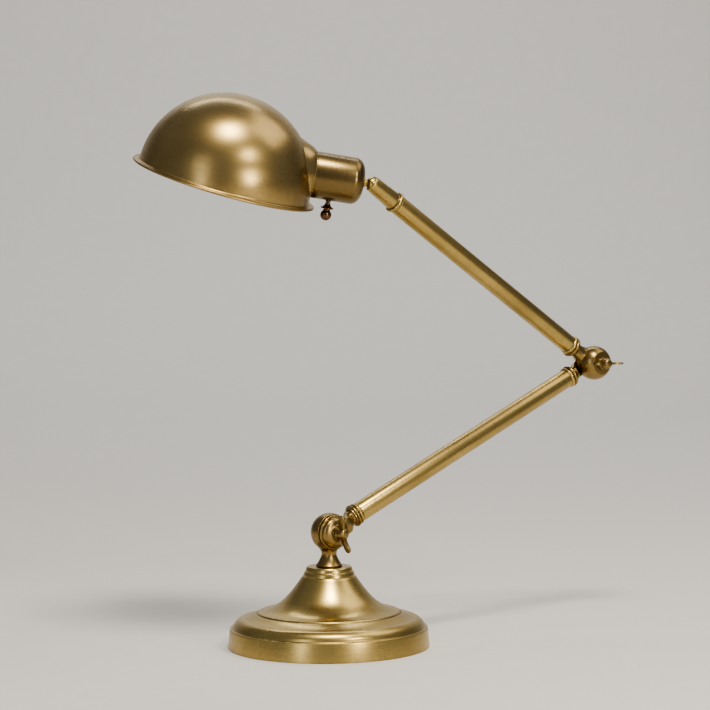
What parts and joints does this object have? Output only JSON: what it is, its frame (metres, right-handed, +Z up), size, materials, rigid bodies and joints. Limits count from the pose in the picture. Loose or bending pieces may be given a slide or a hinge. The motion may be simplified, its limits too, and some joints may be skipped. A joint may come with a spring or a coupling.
{
  "type": "swing arm desk lamp",
  "caption": "Desk lamp with a weighted round base, hinged tube arms on wing-nut knuckles, a ball swivel and a dome shade with side socket cup and turn switch.",
  "frame": {"origin": "middle of the underside of the base, on the surface the lamp stands on", "axes": "+Z up, +X towards the elbow in the plane that the arms fold in, the wing nuts on the -Y side"},
  "size_m": [0.5048, 0.2548, 0.5237],
  "materials": {
    "brass_shell": "aged satin, spun",
    "brass_turned": "aged satin, turned",
    "brass_shade": "aged satin with brown patina, spun",
    "dark_bronze": "dark bronze, polished",
    "zinc_steel": "zinc plated",
    "iron": "rough cast",
    "felt": "felt",
    "black_plastic": "satin",
    "fibre": "pressed fibre",
    "porcelain": "glazed porcelain",
    "bulb_frost": "frosted"
  },
  "bodies": {
    "base": {"base_shell": "brass_shell", "base_weight": "iron", "base_felt": "felt", "cord_bush": "black_plastic"},
    "stem": {"stem": "brass_turned", "stem_nipple": "zinc_steel", "stem_washer": "zinc_steel", "stem_nut": "zinc_steel", "lower_knuckle_bolt": "brass_turned"},
    "lower_wing": {"lower_knuckle_wing_nut": "brass_turned"},
    "lower_arm": {"lower_arm_knuckle": "brass_turned", "lower_arm_lower_collar": "brass_turned", "lower_arm_tube": "brass_turned", "lower_arm_upper_collar": "brass_turned", "elbow_back_knuckle": "brass_turned", "lower_knuckle_friction_washer": "fibre", "lower_knuckle_wing_washer": "brass_turned", "elbow_bolt": "brass_turned"},
    "elbow_wing": {"elbow_wing_nut": "brass_turned"},
    "upper_arm": {"upper_arm_knuckle": "brass_turned", "upper_arm_lower_collar": "brass_turned", "upper_arm_tube": "brass_turned", "upper_arm_tip": "brass_turned", "elbow_friction_washer": "fibre", "elbow_wing_washer": "brass_turned"},
    "swivel": {"swivel_sleeve": "brass_turned"},
    "ball": {"ball_stud": "brass_turned", "ball_stud_nut": "zinc_steel"},
    "head": {"socket_cup": "brass_shade", "neck_ferrule": "brass_turned", "shade": "brass_shade", "lampholder": "porcelain", "lampholder_thread": "brass_turned", "lampholder_contact": "brass_turned", "bulb_cap": "zinc_steel", "bulb_glass": "bulb_frost", "switch_bushing": "dark_bronze"},
    "switch": {"switch_knob": "dark_bronze"}
  },
  "joints": [
    {"name": "base_swivel", "type": "hinge", "parent": "base", "child": "stem", "pos_m": [0, 0, 0.0755], "axis": [0, 0, 1], "range_deg": [-170, 170]},
    {"name": "lower_arm_tilt", "type": "hinge", "parent": "stem", "child": "lower_arm", "pos_m": [0, 0, 0.108], "axis": [0, -1, 0], "range_deg": [-20, 70]},
    {"name": "lower_wing_turn", "type": "hinge", "parent": "stem", "child": "lower_wing", "pos_m": [0, 0, 0.108], "axis": [0, -1, 0], "range_deg": [0, 270]},
    {"name": "elbow_fold", "type": "hinge", "parent": "lower_arm", "child": "upper_arm", "pos_m": [0.32759, 0, 0.25729], "axis": [0, 1, 0], "range_deg": [0, 120]},
    {"name": "elbow_wing_turn", "type": "hinge", "parent": "lower_arm", "child": "elbow_wing", "pos_m": [0.32759, 0, 0.25729], "axis": [0, -1, 0], "range_deg": [0, 270]},
    {"name": "arm_end_swivel", "type": "hinge", "parent": "upper_arm", "child": "swivel", "pos_m": [0.0504, 0, 0.43729], "axis": [-0.8387, 0, 0.5446], "range_deg": [-120, 120]},
    {"name": "head_tilt", "type": "hinge", "parent": "swivel", "child": "ball", "pos_m": [0.0504, 0, 0.43729], "axis": [-0.4521, -0.5576, -0.6962], "range_deg": [-60, 28]},
    {"name": "shade_roll", "type": "hinge", "parent": "ball", "child": "head", "pos_m": [0.0504, 0, 0.43729], "axis": [-0.8549, 0.4936, 0.1599], "range_deg": [-150, 150]},
    {"name": "switch_turn", "type": "hinge", "parent": "head", "child": "switch", "pos_m": [0.01586, 0.0241, 0.4221], "axis": [-0.0549, 0.2203, -0.9739], "continuous": true}
  ]
}
